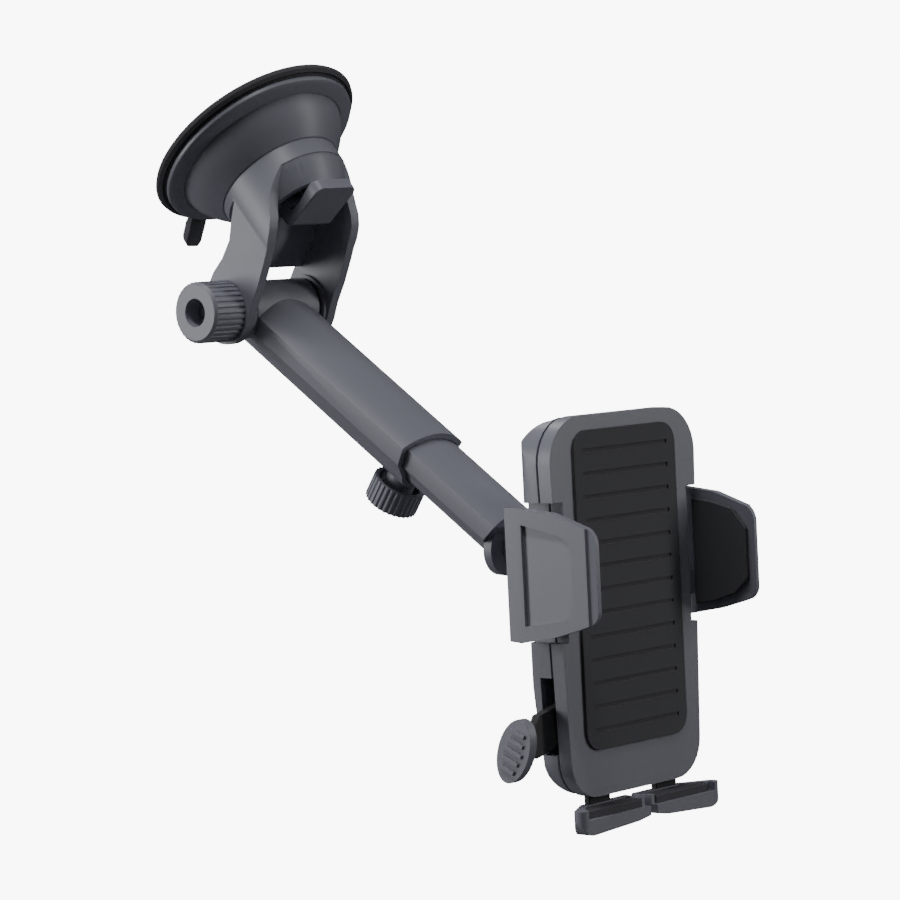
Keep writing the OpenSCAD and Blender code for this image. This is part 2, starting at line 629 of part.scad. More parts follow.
// pinion and racks
teeth = 14;
pressure = 25;
lash = 0.09;
base_r = pitch_r * cos(pressure);
function inv_deg(a) = tan(a) * 180 / PI - a;
function flank(r) = 90 / teeth - lash / pitch_r * 180 / PI / 2
    + inv_deg(pressure) - inv_deg(acos(min(1, base_r / r)));
tip_r = 7.85;
root_r = 5.8;
function polar(r, a) = [r * cos(a), r * sin(a)];
function flank_r(i) = base_r + (tip_r - base_r) * i / 4;
function gear_pts() = [for (k = [0:teeth - 1]) let (c = 90 + k * 360 / teeth)
    each concat(
        [polar(root_r, c - flank(base_r) - 1)],
        [for (i = [0:4]) let (r = flank_r(i)) polar(r, c - flank(r))],
        [for (i = [4:-1:0]) let (r = flank_r(i)) polar(r, c + flank(r))],
        [polar(root_r, c + flank(base_r) + 1)])];
module pinion() color(black_c) in_cradle() translate([0, 0, pinion_z]) difference() {
    union() {
        front_prism(gear_pts(), rack_y0, rack_y1);
        rod_y(4, 13.4, 17.5);
    }
    rod_y(2 + run_fit, 10, 20);
}
module pinion_axle() color(steel_c) in_cradle() translate([0, 0, pinion_z]) {
    rod_y(2, front_y + 1.6, 17.6);
    rod_y(1.2, 17.6, back_y - 1.8);
}
pitch_mm = PI;                                   // circular pitch of a module-1 tooth
rack_add = 0.85;
rack_ded = 1.15;
half_tooth = pitch_mm / 4 - lash / 2;
// teeth of a rack that lies above its pitch line, from x = a to b, teeth pointing down
function rack_pts(a, b, back) = concat(
    [[b, back], [a, back], [a, rack_ded]],
    [for (k = [ceil((a + 1.6) / pitch_mm - 0.5):floor((b - 1.6) / pitch_mm - 0.5)])
        let (c = (k + 0.5) * pitch_mm, t = tan(pressure))
        each [[c - half_tooth - rack_ded * t, rack_ded], [c - half_tooth + rack_add * t, -rack_add],
              [c + half_tooth - rack_add * t, -rack_add], [c + half_tooth + rack_ded * t, rack_ded]]],
    [[b, rack_ded]]);
rack_back = 2.9;
saw_z = pinion_z - pitch_r - rack_back;           // under the right rack
saw_pitch = 1.8;
saw_t = 1.2;

// jaws
jaw_in = phone_w / 2;                            // face of the jaw pad
jaw_pad_t = 1.5;
jaw_t = 2.6;
jaw_top = 16.6;
jaw_low = -23.6;
// side outline of the left jaw in [y, z]
jaw_side = concat(
    [[21.5, jaw_top], [21.5, jaw_low + 0.4], [17, jaw_low]],
    [[4, jaw_low + 2.2], [-5, jaw_low + 4.6]],
    arc([-jaw_front + 4.5, jaw_low + 10], 4.5, 250, 180, 5),
    arc([-jaw_front + 5.5, jaw_top - 10.6], 5.5, 180, 118, 5),
    [[4, jaw_top - 1.5], [17, jaw_top]]);
module jaw(s) {
    x_in = jaw_in + jaw_pad_t;
    x_out = x_in + jaw_t + 1;
    slot = rack_slots(s);
    difference() {
        union() {
            intersection() {
                side_prism(jaw_side, s > 0 ? x_in - 3 : -x_out - 3, s > 0 ? x_out + 3 : -x_in + 3);
                mirror([s > 0 ? 0 : 1, 0, 0]) plan_prism([
                    [x_in, -jaw_front - 1], [x_in + 1.3, -jaw_front - 1], [x_in + 1.9, -jaw_front + 2.6],
                    [x_in + 2.6, -jaw_front + 3], [x_out, 17], [x_out, 22.5], [x_out - 3.6, 22.5],
                    [x_out - 3.6, 19], [x_in, 13]], -40, 40);
            }
            // neck from the jaw to the rack
            translate([s > 0 ? waist_half - 8 : -x_in - 1, rack_y0, slot[0] + 0.4])
                cube([x_in + 1 - waist_half + 8, rack_y1 - rack_y0, slot[1] - slot[0] - 0.8]);
            translate([0, 0, pinion_z]) mirror([0, 0, s > 0 ? 1 : 0]) translate([0, 0, pitch_r])
                front_prism(rack_pts(s > 0 ? -14 : -waist_half + 2, s > 0 ? waist_half - 2 : 14, rack_back),
                    rack_y0, rack_y1);
            // saw teeth on the right rack for the release lever
            if (s > 0) front_prism(concat([[4, saw_z + 0.4], [4, saw_z]],
                [for (k = [0:9]) each [[6 + k * saw_pitch, saw_z], [6 + k * saw_pitch, saw_z - saw_t]]],
                [[24, saw_z], [24, saw_z + 0.4]]), rack_y0, rack_y1);
        }
        // recessed side panel
        translate([s > 0 ? x_in + jaw_t - 0.2 : -x_in - jaw_t - 5.8, 0, 0])
            side_prism([[15.3, jaw_top - 5], [15.3, jaw_low + 5], [0, jaw_low + 7.4], [-2, jaw_low + 9],
                [-3, jaw_low + 14], [-3, jaw_top - 13], [-2, jaw_top - 10.5], [0, jaw_top - 8.6]], 0, 6);
    }
}
module left_jaw() color(shell_c) in_cradle() jaw(-1);
module right_jaw() color(shell_c) in_cradle() jaw(1);
module jaw_pad(s) {
    side_prism([[11.5, jaw_top - 3.4], [11.5, jaw_low + 3.6], [4, jaw_low + 4.8], [-4, jaw_low + 7.4],
        [-jaw_front + 2.4, jaw_low + 12], [-jaw_front + 2.4, jaw_top - 12.5],
        [-4, jaw_top - 6.5], [4, jaw_top - 4.4]],
        s > 0 ? jaw_in : -jaw_in - jaw_pad_t, s > 0 ? jaw_in + jaw_pad_t : -jaw_in);
}
module left_jaw_pad() color(rubber_c) in_cradle() jaw_pad(-1);
module right_jaw_pad() color(rubber_c) in_cradle() jaw_pad(1);

// springs that push the jaws apart
module jaw_springs() color(steel_c) in_cradle() for (s = [-1, 1])
    translate([s > 0 ? -26 : 14.4, 15.3, s > 0 ? pinion_z - pitch_r - 1.4 : pinion_z + pitch_r + 1.4])
        rotate([0, 90, 0]) coil(1.7, 0.3, 11.4, 7);

// release lever, its pin and its spring
paddle_at = [-42.6, 18.2, -55.3];
paddle_turn = 24;
paddle_t = 3.1;
paddle_long = 10.3;
paddle_short = 6;
module release_lever() color(black_c) in_cradle() difference() {
    union() {
        translate([release_at[0], 0, release_at[1]]) rod_y(4, rack_y0 + 0.1, rack_y1);
        // arm out to the paddle, and its flat seat for the spring
        front_prism([[release_at[0], release_at[1] + 3.6], [-30, -43.6], [-38, -45.4], [-40, -48.6],
            [-43, -49.4], [-43, -57.4], [-40, -58], [-37, -57.4], [-30, -55], [-24, -48],
            [release_at[0], release_at[1] - 3.8]], rack_y0 + 0.1, rack_y1);
        front_prism([[spring_x - 2.6, spring_z - 0.1], [spring_x - 2.6, spring_z - 4],
            [spring_x + 2.6, spring_z - 4], [spring_x + 2.6, spring_z - 0.1]], rack_y0 + 0.1, rack_y1);
        // arm up to the rack, with its tooth
        front_prism([[release_at[0], release_at[1] + 3.8], [9, -20], [12.4, saw_z - saw_t - 0.5],
            [14.2, -16.4], [14.2, -20], [-4, -36]], rack_y0 + 0.1, rack_y1);
        // oval thumb paddle with ribs
        translate(paddle_at) rotate([paddle_turn, 0, 0]) {
            rotate([0, -90, 0]) linear_extrude(paddle_t) polygon([for (i = [0:31])
                let (a = i * 360 / 32) [paddle_long * cos(a), paddle_short * sin(a)]]);
            for (i = [-2:2]) translate([-paddle_t - 0.7, -3.7 + abs(i) * 0.5, i * 3 - 0.6])
                cube([1.2, 7.4 - abs(i), 1.2]);
        }
    }
    translate([release_at[0], 0, release_at[1]]) rod_y(1.5 + run_fit, 10, 20);
}
module release_pin() color(steel_c) in_cradle()
    translate([release_at[0], 0, release_at[1]]) rod_y(1.5, seam_y, back_y - 2);
module release_spring() color(steel_c) in_cradle()
    translate([spring_x, 15.3, spring_z]) coil(1.8, 0.3, spring_l, 5);

// foot slider, feet and their pads
foot_in = 1.6;
leg_x0 = 11;
leg_x1 = 21;
leg_y0 = 10.5;
leg_y1 = 12.7;
foot_top = -foot_drop + 7.7;
nose_r = 2.4;
tray_z = 2.6;
tray_pad_t = 4.7;
// floor of a foot's tray in [x, y], set in by g
function tray_plan(g) = [[foot_in + 1.6 + g, 4.4 + g], [foot_half - 4.8 - g, 4.4 + g],
    [foot_half - 4.8 - g, 6.4], [leg_x1 + 1 - g, 10.3 - g], [foot_in + 1.6 + g, 10.3 - g]];
module foot_slider() color(black_c) in_cradle() {
    for (s = [-1, 1]) translate([s > 0 ? leg_x0 : -leg_x1, leg_y0, -foot_drop + 4.8])
        cube([leg_x1 - leg_x0, leg_y1 - leg_y0, 40]);
    translate([-leg_x1, leg_y0, -foot_drop + 40]) cube([2 * leg_x1, leg_y1 - leg_y0, 6]);
}
module foot(s) {
    mirror([s > 0 ? 0 : 1, 0, 0]) difference() {
        intersection() {
            plan_prism(concat([[foot_in, 12.8], [foot_in, 2.6]],
                arc([foot_half - nose_r, 5.2], nose_r, -70, 50, 8), [[leg_x1 + 1.6, 12.8]]),
                -foot_drop, foot_top);
            front_prism(concat([[1, foot_top + 1], [1, -foot_drop + 2.2], [7, -foot_drop + 1.2]],
                arc([foot_half - 5, -foot_drop + 5], 5, -90, 0, 6), [[foot_half + 1, foot_top + 1]]), 0, 20);
        }
        // tray between the front lip and the back wall
        plan_prism(tray_plan(0), -foot_drop + tray_z, -foot_drop + 20);
        // lower front lip
        translate([foot_in - 1, 0, -foot_drop + 4.9]) cube([foot_half - 3.6, 5, 20]);
        // seat for the slider's leg
        translate([leg_x0 - 0.1, leg_y0 - 0.05, -foot_drop + 4.8]) cube([leg_x1 - leg_x0 + 0.2, 3, 20]);
    }
}
module left_foot() color(shell_c) in_cradle() foot(-1);
module right_foot() color(shell_c) in_cradle() foot(1);
module foot_pads() color(rubber_c) in_cradle() for (s = [0, 1]) mirror([s, 0, 0])
    plan_prism(tray_plan(0.1), -foot_drop + tray_z, -foot_drop + tray_z + tray_pad_t);

suction_pad();
cup_housing();
pull_stud();
stud_spring();
yoke();
neck_screws();
lock_lever();
lever_pin();
pivot_knob();
pivot_bolt();
pivot_nut();
friction_discs();
outer_tube();
screw_insert();
lock_shoe();
lock_knob();
lock_screw();
inner_tube();
arm_end_cap();
ball_stud();
liner_inner();
liner_outer();
ring_nut();
back_shell();
front_cover();
front_pad();
cradle_screws();
left_jaw();
right_jaw();
left_jaw_pad();
right_jaw_pad();
pinion();
pinion_axle();
jaw_springs();
release_lever();
release_pin();
release_spring();
foot_slider();
left_foot();
right_foot();
foot_pads();
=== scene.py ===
"""Looks of a windscreen phone mount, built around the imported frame."""

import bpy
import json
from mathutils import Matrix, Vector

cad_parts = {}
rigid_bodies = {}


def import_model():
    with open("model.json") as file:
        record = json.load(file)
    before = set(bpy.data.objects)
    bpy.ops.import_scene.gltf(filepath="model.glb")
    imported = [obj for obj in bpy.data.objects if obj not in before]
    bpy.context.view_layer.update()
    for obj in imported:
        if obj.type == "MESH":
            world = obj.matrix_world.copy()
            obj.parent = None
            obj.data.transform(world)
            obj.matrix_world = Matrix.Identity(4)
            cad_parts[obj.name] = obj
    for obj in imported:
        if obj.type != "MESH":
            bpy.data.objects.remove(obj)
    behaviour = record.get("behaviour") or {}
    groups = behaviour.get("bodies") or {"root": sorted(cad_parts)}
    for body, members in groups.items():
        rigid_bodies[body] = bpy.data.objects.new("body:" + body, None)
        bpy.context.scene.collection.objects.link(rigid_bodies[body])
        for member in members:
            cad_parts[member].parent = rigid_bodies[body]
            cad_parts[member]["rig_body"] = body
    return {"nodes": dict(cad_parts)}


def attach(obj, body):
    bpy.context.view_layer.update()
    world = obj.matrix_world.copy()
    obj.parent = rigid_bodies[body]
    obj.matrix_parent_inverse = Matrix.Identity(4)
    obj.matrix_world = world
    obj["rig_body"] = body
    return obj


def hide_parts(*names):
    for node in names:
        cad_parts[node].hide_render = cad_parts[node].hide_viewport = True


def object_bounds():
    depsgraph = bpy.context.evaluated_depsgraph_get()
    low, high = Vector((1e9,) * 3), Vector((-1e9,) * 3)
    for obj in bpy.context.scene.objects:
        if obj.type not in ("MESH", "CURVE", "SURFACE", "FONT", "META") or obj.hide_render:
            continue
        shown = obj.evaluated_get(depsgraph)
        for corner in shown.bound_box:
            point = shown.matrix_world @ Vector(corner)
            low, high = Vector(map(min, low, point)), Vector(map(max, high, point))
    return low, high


bl_info = {
    "name": "Windscreen Phone Mount",
    "version": (1, 0, 0),
    "blender": (4, 5, 0),
    "location": "View3D > Sidebar > Phone Mount",
    "description": "Finishes a suction phone mount with moulded plastic, rubber and steel",
    "category": "Object",
}

import json
import math

import bmesh
import bpy
from bpy.props import FloatProperty, FloatVectorProperty, IntProperty, PointerProperty
from mathutils import Matrix, Vector

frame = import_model()
CAD_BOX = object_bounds()

MM = 0.001
SHELL, BLACK, RUBBER, STEEL, BRASS = (
    "shell plastic", "black plastic", "rubber", "steel", "brass")

# Faces of the release lever beyond this x (m) belong to its paddle.
PADDLE_FACE_X = -0.0425

# Corners of the CAD mesh closer than this (m) are one corner.
MERGE_DISTANCE = 0.000002
# Facets that meet flatter than FLAT_ANGLE are joined, edges sharper than ROUNDED_ANGLE are rounded.
FLAT_ANGLE = math.radians(0.4)
ROUNDED_ANGLE = math.radians(32)

# Roughness is the cleanest spot's, and spread and lift are what handling and dust add to it and to the
# colour. Grain multiplies the grain setting. Cells is the number of grain cells in a metre.
MOULDED_FINISH = {
    SHELL: dict(roughness=0.21, spread=0.05, lift=0.004, grain=1.0, cells=2600.0,
                coat=0.3, coat_roughness=0.12, specular=0.6),
    BLACK: dict(roughness=0.42, spread=0.1, lift=0.01, grain=1.5, cells=2200.0),
    RUBBER: dict(roughness=0.56, spread=0.12, lift=0.014, grain=2.2, cells=1700.0, specular=0.4),
}
METAL_ROUGHNESS = {STEEL: 0.3, BRASS: 0.34}
GRAIN_DEPTH = 0.00012
BRUSHED_DEPTH = 0.00005
BRUSHED_STRENGTH = 0.15
METAL_DUST_LIFT, METAL_DUST_SPREAD = 0.12, 0.08

WHITE = (1.0, 1.0, 1.0, 1.0)
DUST_COLOUR = (0.5, 0.5, 0.51, 1.0)
# Several sockets of a Mix node share a name, so its colour sockets are taken by their place.
MIX_FACTOR, MIX_A, MIX_B, MIX_RESULT = 0, 6, 7, 2

FLOOR_HALF = 30.0
LIGHT_TARGET = (0, -0.09, -0.1)
# Name, place (m), width and height (m), and share of the key power or of the fill power.
LIGHTS = (
    ("key", (-0.9, -0.35, 1.05), (0.9, 0.5), 1.0),
    ("top_strip", (-0.42, -0.11, 1.0), (1.0, 0.09), 0.8),
    ("back_strip", (0.35, 0.9, 0.8), (0.12, 0.9), 0.7),
    ("side_strip", (-1.0, 0.85, 0.0), (0.45, 0.8), 1.0),
    ("right_strip", (0.8, -1.0, 0.3), (0.15, 1.0), 0.5),
)
CAMERA_PLACE = (-0.8133, -0.8202, 0.0153)
CAMERA_HEADING = math.radians(47.98)
CAMERA_DIP = math.radians(5.855)
SENSOR_WIDTH_MM = 36.0
CLIP_NEAR, CLIP_FAR = 0.01, 200.0

# Pieces in the groups that build them: name, CAD node, edge radius in mm, material.
MOULDINGS = {
    "suction": [
        ("rubber_pad", "suction_pad", 0.5, RUBBER),
        ("cup_dome", "cup_housing", 0.35, SHELL),
    ],
    "neck": [
        ("forked_neck", "yoke", 0.7, SHELL),
        ("locking_lever", "lock_lever", 0.6, SHELL),
    ],
    "arm": [
        ("arm_outer_tube", "outer_tube", 0.45, SHELL),
        ("arm_inner_tube", "inner_tube", 0.3, SHELL),
        ("arm_end_plug", "arm_end_cap", 0.3, SHELL),
        ("ball", "ball_stud", 0.0, SHELL),
        ("friction_washers", "friction_discs", 0.3, BLACK),
    ],
    "cradle": [
        ("cradle_back", "back_shell", 0.5, SHELL),
        ("cradle_front", "front_cover", 0.6, SHELL),
        ("cradle_pad", "front_pad", 0.35, RUBBER),
    ],
    "jaws": [
        ("jaw_left", "left_jaw", 0.6, SHELL),
        ("jaw_right", "right_jaw", 0.6, SHELL),
        ("jaw_left_cushion", "left_jaw_pad", 0.4, RUBBER),
        ("jaw_right_cushion", "right_jaw_pad", 0.4, RUBBER),
    ],
    "release": [
        ("thumb_lever", "release_lever", 0.4, BLACK),
    ],
    "feet": [
        ("foot_left", "left_foot", 0.5, SHELL),
        ("foot_right", "right_foot", 0.5, SHELL),
        ("foot_legs", "foot_slider", 0.4, BLACK),
        ("foot_cushions", "foot_pads", 0.4, RUBBER),
    ],
    "knobs": [
        ("tilt_knob", "pivot_knob", 0.2, SHELL),
        ("extend_knob", "lock_knob", 0.15, SHELL),
        ("ball_nut", "ring_nut", 0.2, SHELL),
    ],
}
# Inner hardware that keeps its CAD shape.
HARDWARE = {
    "pull_stud": STEEL, "stud_spring": STEEL, "neck_screws": STEEL, "lever_pin": STEEL,
    "pivot_bolt": STEEL, "pivot_nut": STEEL, "screw_insert": BRASS, "lock_shoe": BLACK,
    "lock_screw": STEEL, "liner_inner": BLACK, "liner_outer": BLACK, "cradle_screws": STEEL,
    "pinion": BLACK, "pinion_axle": STEEL, "jaw_springs": STEEL, "release_pin": STEEL,
    "release_spring": STEEL,
}


class PhoneMountFinish(bpy.types.PropertyGroup):
    """Colours and surface finish."""

    shell_colour: FloatVectorProperty(
        name="Shell colour", description="Moulded shells, arm and knobs",
        default=(0.0075, 0.0085, 0.0125), subtype="COLOR", min=0.0, max=1.0)
    black_colour: FloatVectorProperty(
        name="Black colour", description="Black moulded inner parts",
        default=(0.004, 0.004, 0.005), subtype="COLOR", min=0.0, max=1.0)
    rubber_colour: FloatVectorProperty(
        name="Rubber colour", description="Suction pad and cushions",
        default=(0.006, 0.006, 0.007), subtype="COLOR", min=0.0, max=1.0)
    steel_colour: FloatVectorProperty(
        name="Steel colour", description="Screws, pins and springs",
        default=(0.62, 0.63, 0.65), subtype="COLOR", min=0.0, max=1.0)
    brass_colour: FloatVectorProperty(
        name="Brass colour", description="Threaded insert",
        default=(0.66, 0.46, 0.18), subtype="COLOR", min=0.0, max=1.0)
    grain: FloatProperty(
        name="Moulded grain", description="Strength of the fine texture on the plastic",
        default=0.045, min=0.0, max=1.0)


class PhoneMountSizes(bpy.types.PropertyGroup):
    """Sizes of the finishing detail."""

    edge_scale: FloatProperty(
        name="Edge softness", description="Multiplies every edge radius",
        default=1.0, min=0.2, max=2.0)
    edge_steps: IntProperty(
        name="Edge steps", description="Facets across a rounded edge", default=3, min=1, max=5)
    smooth_angle: FloatProperty(
        name="Smooth angle", description="Edges flatter than this shade smooth",
        default=math.radians(28), subtype="ANGLE", min=0.0, max=math.pi)


class PhoneMountStage(bpy.types.PropertyGroup):
    """Floor, lights and camera."""

    floor_drop: FloatProperty(
        name="Floor drop", description="Distance of the floor below the mount",
        default=0.09, unit="LENGTH", min=0.0, max=2.0)
    floor_colour: FloatVectorProperty(
        name="Floor colour", description="Floor as it lights and shades the mount",
        default=(0.1, 0.1, 0.105), subtype="COLOR", min=0.0, max=1.0)
    key_power: FloatProperty(
        name="Key power", description="Power of the main soft light",
        default=1.0, unit="POWER", min=0.0)
    fill_power: FloatProperty(
        name="Fill power", description="Power of the strip lights, of which each has its share",
        default=8.0, unit="POWER", min=0.0)
    air: FloatProperty(
        name="Air", description="Light that comes evenly from all sides",
        default=0.03, min=0.0, max=5.0)
    backdrop: FloatProperty(
        name="Backdrop", description="Brightness of floor and surroundings as the camera sees them",
        default=9.0, min=0.0)
    lens: FloatProperty(
        name="Lens", description="Camera focal length in millimetres",
        default=139.4, min=10.0, max=500.0)


class PhoneMountSettings(bpy.types.PropertyGroup):
    """All settings of the mount."""

    finish: PointerProperty(type=PhoneMountFinish)
    sizes: PointerProperty(type=PhoneMountSizes)
    stage: PointerProperty(type=PhoneMountStage)


# ---- node groups ----

def new_group(name, inputs, outputs):
    """An empty shader group. Each socket is given as (name, kind, default)."""
    tree = bpy.data.node_groups.new(name, "ShaderNodeTree")
    for io, rows in (("INPUT", inputs), ("OUTPUT", outputs)):
        for label, kind, default in rows:
            sock = tree.interface.new_socket(name=label, in_out=io, socket_type=kind)
            if default is not None and hasattr(sock, "default_value"):
                sock.default_value = default
    return tree, tree.nodes.new("NodeGroupInput"), tree.nodes.new("NodeGroupOutput")


def noise(tree, vector, scale, detail, roughness=0.55):
    node = tree.nodes.new("ShaderNodeTexNoise")
    node.inputs["Scale"].default_value = scale
    node.inputs["Detail"].default_value = detail
    node.inputs["Roughness"].default_value = roughness
    tree.links.new(vector, node.inputs["Vector"])
    return node


def remap(tree, value, low, high, to_low=0.0, to_high=1.0):
    node = tree.nodes.new("ShaderNodeMapRange")
    ends = (("From Min", low), ("From Max", high), ("To Min", to_low), ("To Max", to_high))
    for key, end in ends:
        node.inputs[key].default_value = end
    tree.links.new(value, node.inputs["Value"])
    return node


def grain_group():
    """Fine spark-eroded texture of moulded plastic: a height, and a slow noise that no material uses.
    """
    if "moulded_grain" in bpy.data.node_groups:
        return bpy.data.node_groups["moulded_grain"]
    tree, gin, gout = new_group(
        "moulded_grain",
        [("Vector", "NodeSocketVector", None), ("Cell scale", "NodeSocketFloat", 2600.0)],
        [("Height", "NodeSocketFloat", None), ("Slow", "NodeSocketFloat", None)])
    cells = tree.nodes.new("ShaderNodeTexVoronoi")
    cells.feature = "SMOOTH_F1"
    tree.links.new(gin.outputs["Vector"], cells.inputs["Vector"])
    tree.links.new(gin.outputs["Cell scale"], cells.inputs["Scale"])
    fine = noise(tree, gin.outputs["Vector"], scale=900.0, detail=2.0)
    add = tree.nodes.new("ShaderNodeMath")
    add.operation = "MULTIPLY_ADD"
    add.inputs[1].default_value = 0.5  # share of the cells
    tree.links.new(cells.outputs["Distance"], add.inputs[0])
    tree.links.new(fine.outputs["Fac"], add.inputs[2])
    tree.links.new(add.outputs[0], gout.inputs["Height"])
    slow = noise(tree, gin.outputs["Vector"], scale=22.0, detail=2.0)
    tree.links.new(slow.outputs["Fac"], gout.inputs["Slow"])
    return tree


def dust_group():
    """Handling marks and dust: lifts the colour a little in soft patches and roughens them."""
    if "handling_dust" in bpy.data.node_groups:
        return bpy.data.node_groups["handling_dust"]
    tree, gin, gout = new_group(
        "handling_dust",
        [("Vector", "NodeSocketVector", None), ("Color", "NodeSocketColor", (0.2, 0.2, 0.2, 1)),
         ("Lift", "NodeSocketFloat", 0.1), ("Roughness", "NodeSocketFloat", 0.4),
         ("Spread", "NodeSocketFloat", 0.1)],
        [("Color", "NodeSocketColor", None), ("Roughness", "NodeSocketFloat", None)])
    patch = noise(tree, gin.outputs["Vector"], scale=46.0, detail=5.0, roughness=0.62)
    mask = remap(tree, patch.outputs["Fac"], low=0.38, high=0.68)
    speck = noise(tree, gin.outputs["Vector"], scale=1500.0, detail=1.0)
    specks = remap(tree, speck.outputs["Fac"], low=0.66, high=0.74)
    both = tree.nodes.new("ShaderNodeMath")
    both.operation = "MULTIPLY_ADD"
    both.inputs[1].default_value = 0.5  # share of the specks
    tree.links.new(specks.outputs[0], both.inputs[0])
    tree.links.new(mask.outputs[0], both.inputs[2])
    scaled = tree.nodes.new("ShaderNodeMath")
    scaled.operation = "MULTIPLY"
    tree.links.new(both.outputs[0], scaled.inputs[0])
    tree.links.new(gin.outputs["Lift"], scaled.inputs[1])
    mix = tree.nodes.new("ShaderNodeMix")
    mix.data_type = "RGBA"
    mix.inputs[MIX_B].default_value = DUST_COLOUR
    tree.links.new(scaled.outputs[0], mix.inputs[MIX_FACTOR])
    tree.links.new(gin.outputs["Color"], mix.inputs[MIX_A])
    tree.links.new(mix.outputs[MIX_RESULT], gout.inputs["Color"])
    rough = tree.nodes.new("ShaderNodeMath")
    rough.operation = "MULTIPLY_ADD"
    tree.links.new(mask.outputs[0], rough.inputs[0])
    tree.links.new(gin.outputs["Spread"], rough.inputs[1])
    tree.links.new(gin.outputs["Roughness"], rough.inputs[2])
    tree.links.new(rough.outputs[0], gout.inputs["Roughness"])
    return tree


def brushed_group():
    """Turned or drawn metal: fine lines along x."""
    if "brushed_lines" in bpy.data.node_groups:
        return bpy.data.node_groups["brushed_lines"]
    tree, gin, gout = new_group(
        "brushed_lines",
        [("Vector", "NodeSocketVector", None), ("Roughness", "NodeSocketFloat", 0.3)],
        [("Height", "NodeSocketFloat", None), ("Roughness", "NodeSocketFloat", None)])
    stretch = tree.nodes.new("ShaderNodeMapping")
    stretch.inputs["Scale"].default_value = (60.0, 2200.0, 2200.0)
    tree.links.new(gin.outputs["Vector"], stretch.inputs["Vector"])
    lines = noise(tree, stretch.outputs["Vector"], scale=1.0, detail=2.0)
    tree.links.new(lines.outputs["Fac"], gout.inputs["Height"])
    spread = remap(tree, lines.outputs["Fac"], low=0.3, high=0.7, to_low=-0.07, to_high=0.1)
    add = tree.nodes.new("ShaderNodeMath")
    add.operation = "ADD"
    tree.links.new(spread.outputs[0], add.inputs[0])
    tree.links.new(gin.outputs["Roughness"], add.inputs[1])
    tree.links.new(add.outputs[0], gout.inputs["Roughness"])
    return tree


def use_group(tree, group, **values):
    """A node of the group. Each value goes to the socket of its name, with spaces for underscores."""
    node = tree.nodes.new("ShaderNodeGroup")
    node.node_tree = group
    for key, value in values.items():
        node.inputs[key.replace("_", " ")].default_value = value
    return node


def fresh_material(name):
    mat = bpy.data.materials.new(name)
    mat.use_nodes = True
    tree = mat.node_tree
    shader = tree.nodes["Principled BSDF"]
    coords = tree.nodes.new("ShaderNodeTexCoord").outputs["Object"]
    return mat, tree, shader, coords


def add_bump(tree, shader, height, strength, depth):
    bump = tree.nodes.new("ShaderNodeBump")
    bump.inputs["Strength"].default_value = strength
    bump.inputs["Distance"].default_value = depth
    tree.links.new(height, bump.inputs["Height"])
    tree.links.new(bump.outputs["Normal"], shader.inputs["Normal"])


def moulded(name, colour, roughness, spread, lift, grain, cells,
            coat=0.0, coat_roughness=0.2, specular=0.5):
    """Moulded plastic or rubber, with its grain and its handling marks."""
    mat, tree, shader, coords = fresh_material(name)
    dust = use_group(tree, dust_group(), Color=(*colour, 1), Lift=lift, Roughness=roughness,
                     Spread=spread)
    tree.links.new(coords, dust.inputs["Vector"])
    tree.links.new(dust.outputs["Color"], shader.inputs["Base Color"])
    tree.links.new(dust.outputs["Roughness"], shader.inputs["Roughness"])
    texture = use_group(tree, grain_group(), Cell_scale=cells)
    tree.links.new(coords, texture.inputs["Vector"])
    add_bump(tree, shader, texture.outputs["Height"], grain, GRAIN_DEPTH)
    shader.inputs["Coat Weight"].default_value = coat
    shader.inputs["Coat Roughness"].default_value = coat_roughness
    shader.inputs["Specular IOR Level"].default_value = specular
    return mat


def brushed_metal(name, colour, roughness):
    """Bare metal with drawn lines."""
    mat, tree, shader, coords = fresh_material(name)
    dust = use_group(tree, dust_group(), Color=(*colour, 1), Lift=METAL_DUST_LIFT,
                     Roughness=roughness, Spread=METAL_DUST_SPREAD)
    lines = use_group(tree, brushed_group(), Roughness=roughness)
    tree.links.new(coords, dust.inputs["Vector"])
    tree.links.new(coords, lines.inputs["Vector"])
    tree.links.new(dust.outputs["Color"], shader.inputs["Base Color"])
    tree.links.new(lines.outputs["Roughness"], shader.inputs["Roughness"])
    add_bump(tree, shader, lines.outputs["Height"], BRUSHED_STRENGTH, BRUSHED_DEPTH)
    shader.inputs["Metallic"].default_value = 1.0
    return mat


def material(slot):
    """The finished material for a record slot, built on first use."""
    if slot in bpy.data.materials:
        return bpy.data.materials[slot]
    finish = bpy.context.scene.phone_mount.finish
    colour = {
        SHELL: finish.shell_colour, BLACK: finish.black_colour, RUBBER: finish.rubber_colour,
        STEEL: finish.steel_colour, BRASS: finish.brass_colour,
    }[slot]
    if slot in METAL_ROUGHNESS:
        return brushed_metal(slot, colour, METAL_ROUGHNESS[slot])
    values = dict(MOULDED_FINISH[slot])
    values["grain"] *= finish.grain
    return moulded(slot, colour, **values)


# ---- pieces ----

def set_only_material(obj, slot):
    obj.data.materials.clear()
    obj.data.materials.append(material(slot))


def settle(obj, node, slot):
    """Hands a finished piece to the body of the CAD node that it stands for."""
    set_only_material(obj, slot)
    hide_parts(node)
    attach(obj, frame["nodes"][node]["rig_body"])


def clean_copy(node, smooth_angle):
    """A merged copy of a CAD node's mesh as a bmesh, with flat regions joined and creases marked."""
    bm = bmesh.new()
    bm.from_mesh(frame["nodes"][node].data)
    bmesh.ops.remove_doubles(bm, verts=bm.verts, dist=MERGE_DISTANCE)
    bmesh.ops.dissolve_limit(
        bm, angle_limit=FLAT_ANGLE, use_dissolve_boundaries=False,
        verts=bm.verts, edges=bm.edges, delimit=set())
    bm.normal_update()
    for edge in bm.edges:
        edge.smooth = len(edge.link_faces) == 2 and edge.calc_face_angle(0.0) < smooth_angle
    for face in bm.faces:
        face.smooth = True
    return bm


